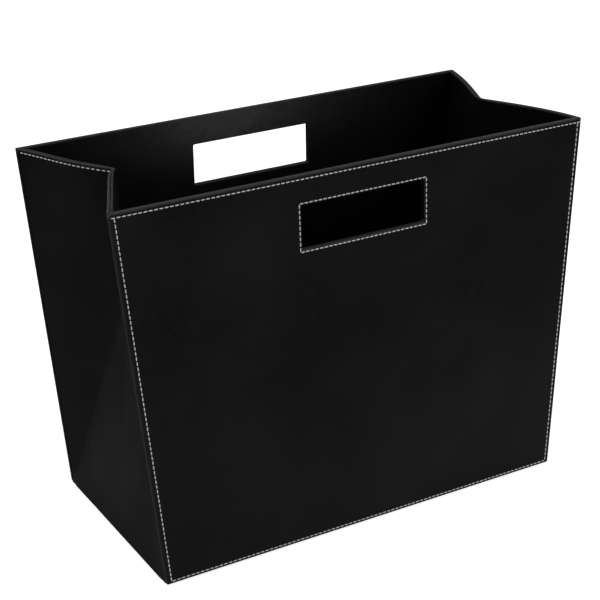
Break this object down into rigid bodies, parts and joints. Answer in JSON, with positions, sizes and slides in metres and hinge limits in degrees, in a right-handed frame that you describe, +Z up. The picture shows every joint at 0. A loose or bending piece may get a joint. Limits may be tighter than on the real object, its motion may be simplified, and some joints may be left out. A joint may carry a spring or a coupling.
{
  "type": "magazine box",
  "caption": "Open leatherette magazine box with leaning board-stiffened walls, hand slots front and back, contrast stitching and inward-folding ends.",
  "frame": {"origin": "middle of the underside, on the surface that the box stands on", "axes": "+Z up, +X along the length to the right as seen from the front, the front panel faces -Y"},
  "size_m": [0.4058, 0.1906, 0.3],
  "materials": {
    "black_leatherette": "fine-grained, semi-matt",
    "lining_leatherette": "smooth, matt",
    "grey_board": "uncoated",
    "white_thread": "twisted thread"
  },
  "bodies": {
    "base": {"base_cover": "black_leatherette", "base_board": "grey_board", "base_pad": "lining_leatherette", "left_end_flange": "black_leatherette", "right_end_flange": "black_leatherette"},
    "front_panel": {"front_panel_cover": "black_leatherette", "front_panel_board": "grey_board", "front_panel_lining": "lining_leatherette", "front_panel_stitching": "white_thread", "front_slot_stitching": "white_thread", "front_slot_turned_edge": "black_leatherette", "front_rim_turned_edge": "black_leatherette", "front_base_seam_flange": "black_leatherette", "front_left_seam_flange": "black_leatherette", "front_right_seam_flange": "black_leatherette"},
    "back_panel": {"back_panel_cover": "black_leatherette", "back_panel_board": "grey_board", "back_panel_lining": "lining_leatherette", "back_panel_stitching": "white_thread", "back_slot_stitching": "white_thread", "back_slot_turned_edge": "black_leatherette", "back_rim_turned_edge": "black_leatherette", "back_base_seam_flange": "black_leatherette", "back_left_seam_flange": "black_leatherette", "back_right_seam_flange": "black_leatherette"},
    "left_gusset_triangle": {"left_gusset_triangle_cover": "black_leatherette", "left_gusset_triangle_board": "grey_board", "left_gusset_triangle_lining": "lining_leatherette"},
    "left_gusset_front": {"left_gusset_front_cover": "black_leatherette", "left_gusset_front_board": "grey_board", "left_gusset_front_lining": "lining_leatherette", "left_gusset_front_stitching": "white_thread"},
    "left_gusset_back": {"left_gusset_back_cover": "black_leatherette", "left_gusset_back_board": "grey_board", "left_gusset_back_lining": "lining_leatherette", "left_gusset_back_stitching": "white_thread"},
    "right_gusset_triangle": {"right_gusset_triangle_cover": "black_leatherette", "right_gusset_triangle_board": "grey_board", "right_gusset_triangle_lining": "lining_leatherette"},
    "right_gusset_front": {"right_gusset_front_cover": "black_leatherette", "right_gusset_front_board": "grey_board", "right_gusset_front_lining": "lining_leatherette", "right_gusset_front_stitching": "white_thread"},
    "right_gusset_back": {"right_gusset_back_cover": "black_leatherette", "right_gusset_back_board": "grey_board", "right_gusset_back_lining": "lining_leatherette", "right_gusset_back_stitching": "white_thread"}
  },
  "joints": [
    {"name": "front_panel_squeeze", "type": "hinge", "parent": "base", "child": "front_panel", "pos_m": [0, -0.095, 0.0004], "axis": [-1, 0, 0], "range_deg": [0, 2.5], "stiffness_Nm_per_rad": 6, "springref_deg": -2.86},
    {"name": "back_panel_squeeze", "type": "hinge", "parent": "base", "child": "back_panel", "pos_m": [0, 0.095, 0.0004], "axis": [1, 0, 0], "range_deg": [0, 2.5]},
    {"name": "left_end_tilt", "type": "hinge", "parent": "base", "child": "left_gusset_triangle", "pos_m": [-0.1785, 0, 0.0014], "axis": [0, 1, 0], "range_deg": [0, 5.62]},
    {"name": "left_front_fold", "type": "hinge", "parent": "front_panel", "child": "left_gusset_front", "pos_m": [-0.1785, -0.0901, 0.0014], "axis": [0.0781, -0.0183, -0.9968], "range_deg": [0, 13.75]},
    {"name": "left_back_fold", "type": "hinge", "parent": "back_panel", "child": "left_gusset_back", "pos_m": [-0.1785, 0.0901, 0.0014], "axis": [-0.0781, -0.0183, 0.9968], "range_deg": [0, 13.75]},
    {"name": "right_end_tilt", "type": "hinge", "parent": "base", "child": "right_gusset_triangle", "pos_m": [0.1785, 0, 0.0014], "axis": [0, -1, 0], "range_deg": [0, 6.5]},
    {"name": "right_front_fold", "type": "hinge", "parent": "front_panel", "child": "right_gusset_front", "pos_m": [0.1785, -0.0901, 0.0014], "axis": [0.0781, 0.0183, 0.9968], "range_deg": [0, 16.25]},
    {"name": "right_back_fold", "type": "hinge", "parent": "back_panel", "child": "right_gusset_back", "pos_m": [0.1785, 0.0901, 0.0014], "axis": [-0.0781, 0.0183, -0.9968], "range_deg": [0, 16.25]}
  ],
  "couplings": [
    {"joint": "back_panel_squeeze", "follows": "front_panel_squeeze", "ratio": 1},
    {"joint": "left_end_tilt", "follows": "front_panel_squeeze", "ratio": 2.25},
    {"joint": "left_front_fold", "follows": "front_panel_squeeze", "ratio": 5.5},
    {"joint": "left_back_fold", "follows": "front_panel_squeeze", "ratio": 5.5},
    {"joint": "right_end_tilt", "follows": "front_panel_squeeze", "ratio": 2.6},
    {"joint": "right_front_fold", "follows": "front_panel_squeeze", "ratio": 6.5},
    {"joint": "right_back_fold", "follows": "front_panel_squeeze", "ratio": 6.5}
  ]
}
